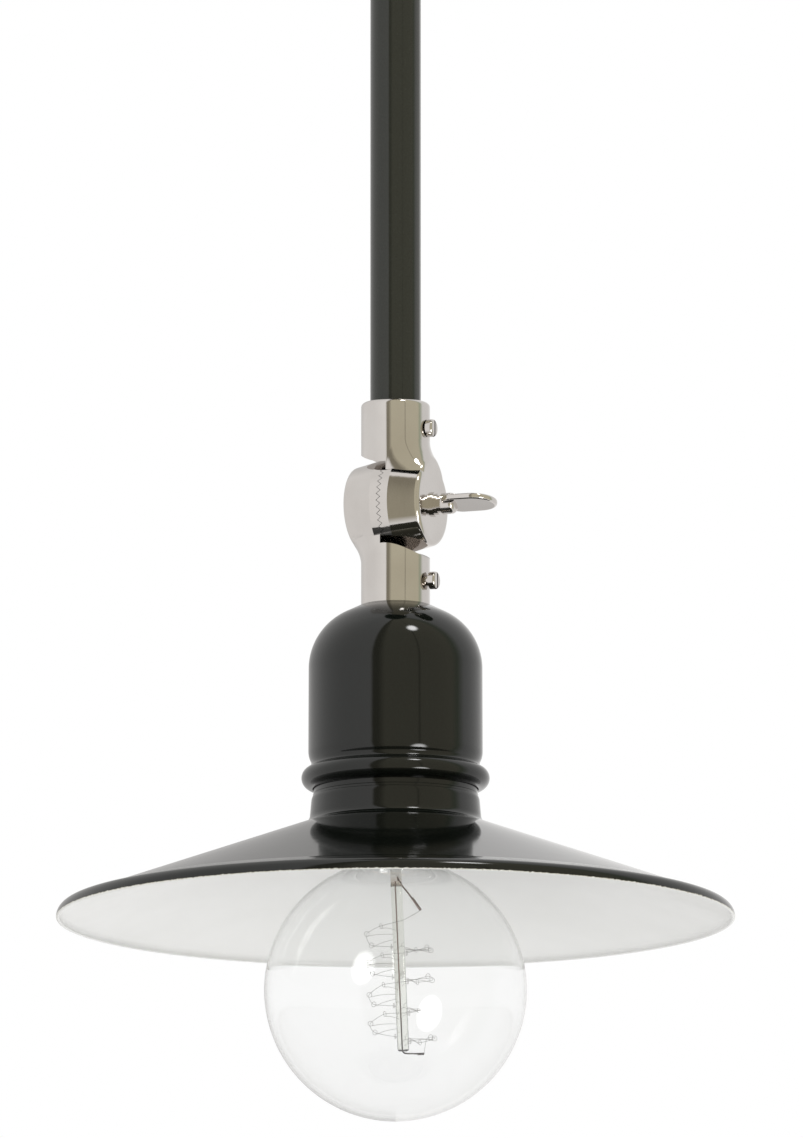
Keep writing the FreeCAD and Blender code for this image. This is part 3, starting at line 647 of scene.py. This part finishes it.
coil_first = coil_place(0, coil_lead_in)
path = [short_end, short_end.lerp(coil_first, 0.6), coil_first + corner(0, 1.5)]
for step in range(2, (turns * hooks_per_turn - 1) * knots_per_hook):
    turn = step / (hooks_per_turn * knots_per_hook)
    last_hook, past = divmod(turn * hooks_per_turn - 0.5, 1)
    rise = hook_rise(last_hook) * (1 - past) + hook_rise(last_hook + 1) * past
    path.append(coil_place(turn, coil_radius - coil_sag * past * (1 - past)) + corner(0, rise))
path += [path[-1].lerp(long_end, 0.5) + corner(0, 0.4), long_end]
filament = wire("filament_wound", path, filament_wire)
filament.data.transform(leaning)

tungsten = mottled("drawn_tungsten", {"scale": 900}, (0.10, 0.095, 0.09), (0.22, 0.21, 0.20),
                   rough=0.4, metal=0.8, raised=0.00002)[0]
coat(filament, tungsten)
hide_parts("filament")
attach(filament, "bulb")

shank = corners((1.6, 0), (4, 0.05), (8, -0.1), (10.2, -0.6))
eye = bend(coil_radius - eye_shift, 0, eye_radius, eye_start, eye_start - eye_sweep, eye_steps)
hook = wire("filament_hooks_drawn", shank + eye, hook_wire)
copies = []
for step in range(turns * hooks_per_turn):
    turn = (step + 0.5) / hooks_per_turn
    copy = hook.copy()
    copy.data = hook.data.copy()
    bpy.context.scene.collection.objects.link(copy)
    sway = -math.asin(hook_rise(step) / coil_radius)
    copy.data.transform(leaning @ Matrix.Translation(corner(0, coil_top - coil_pitch * turn))
                        @ Matrix.Rotation(coil_start - math.tau * turn, 4, "Z")
                        @ Matrix.Rotation(sway, 4, "Y"))
    copies.append(copy)
bpy.data.objects.remove(hook)
join(*copies)
hooks = bpy.context.object
hooks.name = "filament_hooks_drawn"
steel_wire = mottled("drawn_hook_wire", {"scale": 700}, (0.18, 0.17, 0.16), (0.36, 0.34, 0.32),
                     rough=0.35, metal=0.9, raised=0.00002)[0]
coat(hooks, steel_wire)
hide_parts("filament_hooks")
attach(hooks, "bulb")


# Leads: two copper-coated wires that come out of the pinched foot, each with a crimp at its end.
# One is short and bent out; the other runs down the cane and turns out below it, and its colour darkens
# towards its lower end.
short_wire = 0.6
short_sleeve = 1.0
long_wire = 0.55
long_sleeve = 0.85
darkest_below = cane_end + 2
brightest_above = cane_end + 30
front = Vector((math.cos(coil_start), math.sin(coil_start), 0)) / 1000
down = Vector((0, 0, -0.001))
foot = corner(0, cane_top)
start = foot + out * 0.5 - down * 3.4
way = (short_end - start).normalized() / 1000
short_lead = wire("filament_leads_drawn",
                  [start, start + out * 0.1 + down * 1.6, start.lerp(short_end, 0.4) + down * 0.4,
                   start.lerp(short_end, 0.65) + down * 0.3, short_end], short_wire)
short_crimp = wire("short_crimp", [short_end - way * back for back in (5.5, 4.5, 0.5, 0)], short_sleeve)
top = foot + front * 2.5
long_lead = wire("long_lead",
                 [top - down * 1.2, top + down * 2, top + down * 30, top + down * 57, top + down * 60.8,
                  top + out * 0.4 + down * 62.2, top + out * 1.9 + down * 62.5, long_end], long_wire)
long_crimp = wire("long_crimp", [long_end - out * back for back in (2.4, 1.8, 0.3, 0)], long_sleeve)
join(short_lead, short_crimp, long_lead, long_crimp)
leads = bpy.context.object
leads.data.transform(leaning)

copper, tree, shader = finish("copper_coat")
# Copper colour that grows darker towards the bottom, over the long lead's lowest part
height_share = between(tree, height_of(tree), 0, 1, darkest_below / 1000, brightest_above / 1000)
tree.links.new(shades(tree, height_share, (0.0, (0.12, 0.11, 0.105)), (0.45, (0.20, 0.17, 0.155)),
                      (0.95, (0.30, 0.235, 0.205))), shader.inputs["Base Color"])
tree.links.new(between(tree, grain(tree, scale=600), 0.25, 0.4), shader.inputs["Roughness"])
shader.inputs["Metallic"].default_value = 0.85
coat(leads, copper)
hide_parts("filament_leads")
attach(leads, "bulb")


# Floor: a wide pale sheet a room's height below the ceiling cup, which catches the shadow.
# It is no part of the pendant. It is clear from underneath, so that it hides nothing,
# and polished pieces don't mirror it.
floor_size = 80
floor_height = -2.5
bpy.ops.object.select_all(action="DESELECT")
bpy.ops.mesh.primitive_plane_add(size=floor_size, location=(0, 0, floor_height))
floor = bpy.context.object
floor.name = "floor"
floor.visible_glossy = False
paper, tree, shader = mottled("pale_paper", {"scale": 3}, (0.89, 0.89, 0.88), (0.92, 0.92, 0.91), rough=0.8)
side = tree.nodes.new("ShaderNodeNewGeometry")
clear = tree.nodes.new("ShaderNodeBsdfTransparent")
one_sided = tree.nodes.new("ShaderNodeMixShader")
tree.links.new(side.outputs["Backfacing"], one_sided.inputs["Fac"])
tree.links.new(shader.outputs["BSDF"], one_sided.inputs[1])
tree.links.new(clear.outputs["BSDF"], one_sided.inputs[2])
tree.links.new(one_sided.outputs["Shader"], tree.nodes["Material Output"].inputs["Surface"])
floor.data.materials.append(paper)


# Studio: a white room with a dim tan side where the camera stands, and two soft lamps.
# Camera and glass see plain white behind the lamp; polished pieces show the room's bands and pale ground.
view_azimuth = math.radians(22)
to_camera = Vector((math.sin(view_azimuth), -math.cos(view_azimuth), 0))
to_right = Vector((math.cos(view_azimuth), math.sin(view_azimuth), 0))
scene = bpy.context.scene
scene.view_settings.view_transform = "Standard"
room = bpy.data.worlds.new("studio")
scene.world = room
room.use_nodes = True
tree = room.node_tree
direction = tree.nodes.new("ShaderNodeTexCoord")
around = tree.nodes.new("ShaderNodeMath")
around.operation = "ARCTAN2"
for place, axis in enumerate((to_right, to_camera)):
    along = tree.nodes.new("ShaderNodeVectorMath")
    along.operation = "DOT_PRODUCT"
    along.inputs[1].default_value = axis
    tree.links.new(direction.outputs["Generated"], along.inputs[0])
    tree.links.new(along.outputs["Value"], around.inputs[place])

# Degrees to the right of the camera, and what is seen there
white = (1.0, 0.985, 0.97)
grey = (0.62, 0.61, 0.60)
pale = (0.84, 0.83, 0.82)
soft = (0.90, 0.89, 0.88)
tan = (0.60, 0.56, 0.43)
dim = (0.28, 0.255, 0.195)
olive = (0.40, 0.44, 0.33)
bright = (0.96, 0.95, 0.94)
room_bands = ((-175, grey), (-125, soft), (-75, soft), (-33, white), (-30, dim), (-23, dim),
              (-14, tan), (30.6, tan), (31.4, dim), (32.6, dim), (33.4, tan), (80, tan),
              (90, olive), (103, pale), (140, pale), (175, bright))
bands = shades(tree, between(tree, around.outputs["Value"], 0, 1, -math.pi, math.pi),
               *(((degrees + 180) / 360, colour) for degrees, colour in room_bands))
ground_start = math.sin(math.radians(-35))
ground_end = math.sin(math.radians(-50))
ground = tree.nodes.new("ShaderNodeSeparateXYZ")
tree.links.new(direction.outputs["Generated"], ground.inputs["Vector"])
below = blend(tree, between(tree, ground.outputs["Z"], 0, 1, ground_start, ground_end))
below.inputs["B"].default_value = (*soft, 1)
tree.links.new(bands, below.inputs["A"])
room_light = tree.nodes["Background"]
tree.links.new(below.outputs["Result"], room_light.inputs["Color"])
plain = tree.nodes.new("ShaderNodeBackground")
plain.inputs["Color"].default_value = (1, 1, 1, 1)
seen = tree.nodes.new("ShaderNodeLightPath")
mirrored = tree.nodes.new("ShaderNodeMath")
mirrored.operation = "SUBTRACT"
mirrored.use_clamp = True
choice = tree.nodes.new("ShaderNodeMixShader")
tree.links.new(seen.outputs["Is Glossy Ray"], mirrored.inputs[0])
tree.links.new(seen.outputs["Is Transmission Ray"], mirrored.inputs[1])
tree.links.new(mirrored.outputs["Value"], choice.inputs["Fac"])
tree.links.new(plain.outputs["Background"], choice.inputs[1])
tree.links.new(room_light.outputs["Background"], choice.inputs[2])
tree.links.new(choice.outputs["Shader"], tree.nodes["World Output"].inputs["Surface"])

# Each lamp fades towards its edge; only the high one lights what is matt
lamp_aim = Vector((0, 0, -0.45))
fade_edge = 0.5
fade_full = 0.26
for name, turn, rise, away, wide, tall, power in (("high_lamp", 37, 62, 2.2, 0.5, 0.5, 9),
                                                  ("low_lamp", 33, -29, 1.6, 0.64, 0.92, 14)):
    turn = math.radians(turn)
    rise = math.radians(rise)
    lamp_way = (to_camera * math.cos(turn) + to_right * math.sin(turn)) * math.cos(rise)
    lamp_way.z = math.sin(rise)
    bpy.ops.object.light_add(type="AREA", location=lamp_aim + lamp_way * away)
    lamp = bpy.context.object
    lamp.name = name
    lamp.data.shape = "ELLIPSE"
    lamp.data.size = wide
    lamp.data.size_y = tall
    lamp.data.energy = power
    lamp.data.use_nodes = True
    tree = lamp.data.node_tree
    place = tree.nodes.new("ShaderNodeNewGeometry")
    off_centre = tree.nodes.new("ShaderNodeVectorMath")
    off_centre.operation = "DISTANCE"
    off_centre.inputs[1].default_value = (0.5, 0.5, 0)
    tree.links.new(place.outputs["Parametric"], off_centre.inputs[0])
    tree.links.new(between(tree, off_centre.outputs["Value"], 0, 1, fade_edge, fade_full),
                   tree.nodes["Emission"].inputs["Strength"])
    lamp.visible_camera = False
    lamp.visible_diffuse = rise > 0
    lamp.rotation_euler = lamp_way.to_track_quat("Z", "Y").to_euler()


# Camera: far off with a long lens, a little below the lamp, as the photograph was taken.
# The photograph's frame is a little over 41 cm high at the pendant.
view_height = math.radians(-9.26)
distance = 8.0
frame_height = 0.4126
sensor = 24
aim_right = 0.00214
aim_height = -0.3764
aim = to_right * aim_right + Vector((0, 0, aim_height))
way = to_camera * math.cos(view_height) + Vector((0, 0, math.sin(view_height)))
bpy.ops.object.camera_add(location=aim + way * distance)
camera = bpy.context.object
camera.rotation_euler = way.to_track_quat("Z", "Y").to_euler()
camera.data.sensor_fit = "VERTICAL"
camera.data.sensor_height = sensor
camera.data.lens = sensor * distance / frame_height
camera.data.clip_end = 60
scene.camera = camera
